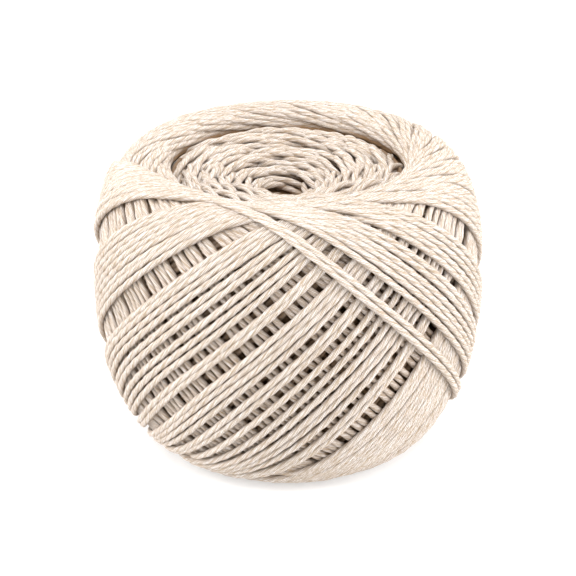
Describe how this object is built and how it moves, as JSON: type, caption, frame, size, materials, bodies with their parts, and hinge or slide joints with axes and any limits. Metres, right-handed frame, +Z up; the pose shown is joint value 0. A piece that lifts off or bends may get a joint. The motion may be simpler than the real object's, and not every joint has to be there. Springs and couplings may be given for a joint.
{
  "type": "ball of macrame cord",
  "caption": "Machine-wound ball of natural cotton macrame cord with a dished top and a centre draw-out hole.",
  "frame": {"origin": "centre of the ball's foot ring, on the surface it rests on", "axes": "+Z up along the winding axis through the centre hole; front, with the crossing of the last turns, towards -Y"},
  "size_m": [0.1309, 0.1296, 0.1],
  "materials": {
    "cotton_cord": "natural unbleached cotton, soft matt three-ply cord"
  },
  "bodies": {
    "root": {"wound_ball": "cotton_cord"}
  },
  "joints": []
}
